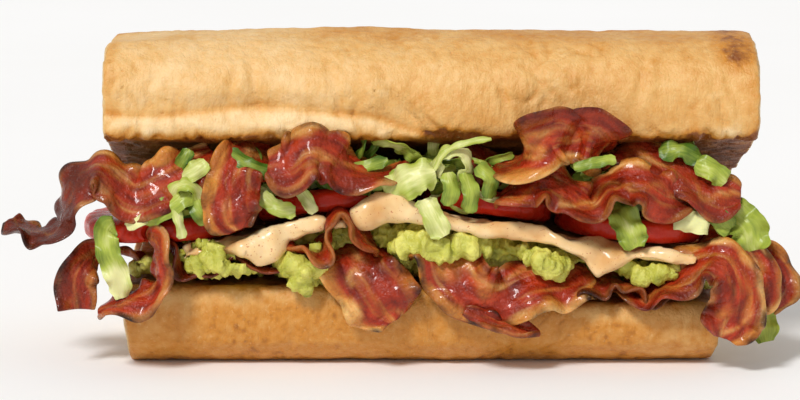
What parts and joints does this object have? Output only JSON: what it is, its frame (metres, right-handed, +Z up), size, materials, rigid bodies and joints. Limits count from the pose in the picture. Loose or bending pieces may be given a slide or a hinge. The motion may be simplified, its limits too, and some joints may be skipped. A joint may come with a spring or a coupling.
{
  "type": "submarine sandwich",
  "caption": "Submarine sandwich: a long soft roll hinged along its back, opened and filled with fried bacon, avocado mash, pale sauce, tomato slices and shredded lettuce.",
  "frame": {"origin": "middle of the roll's flat base", "axes": "+X along the roll, to the right as the open side is faced; -Y out of the open side, towards whoever faces the filling; +Z up, from the base to the crown"},
  "size_m": [0.2456, 0.0896, 0.1022],
  "materials": {
    "crust": "baked crust, satin on the crown, with pale wrinkles",
    "bacon": "fried, greasy, dark red lean with amber fat",
    "tomato": "wet",
    "sauce": "smooth and creamy",
    "mash": "lumpy and moist",
    "leaf": "crisp, thin, with pale ribs"
  },
  "bodies": {
    "root": {"roll": "crust", "bacon_low_fold_left": "bacon", "bacon_low_slab": "bacon", "bacon_low_wave": "bacon", "bacon_low_tail": "bacon", "bacon_low_arch": "bacon", "bacon_low_arch_behind": "bacon", "bacon_low_curl_right": "bacon", "bacon_low_hanging_left": "bacon", "bacon_low_curl": "bacon", "bacon_low_ribbon_left": "bacon", "bacon_low_ribbon_right": "bacon", "bacon_top_left": "bacon", "bacon_top_tongue": "bacon", "bacon_top_crest": "bacon", "bacon_top_upright": "bacon", "bacon_top_wave": "bacon", "bacon_top_right": "bacon", "bacon_top_middle": "bacon", "tomato_slice_1": "tomato", "tomato_slice_2": "tomato", "tomato_slice_3": "tomato", "tomato_slice_4": "tomato", "lettuce_strip_left": "leaf", "lettuce_leaf_end": "leaf", "lettuce_shred_low_right": "leaf", "lettuce_leaf_front": "leaf", "lettuce_sliver_top": "leaf", "lettuce_shredded": "leaf", "sauce": "sauce", "avocado_mash": "mash"}
  },
  "joints": []
}
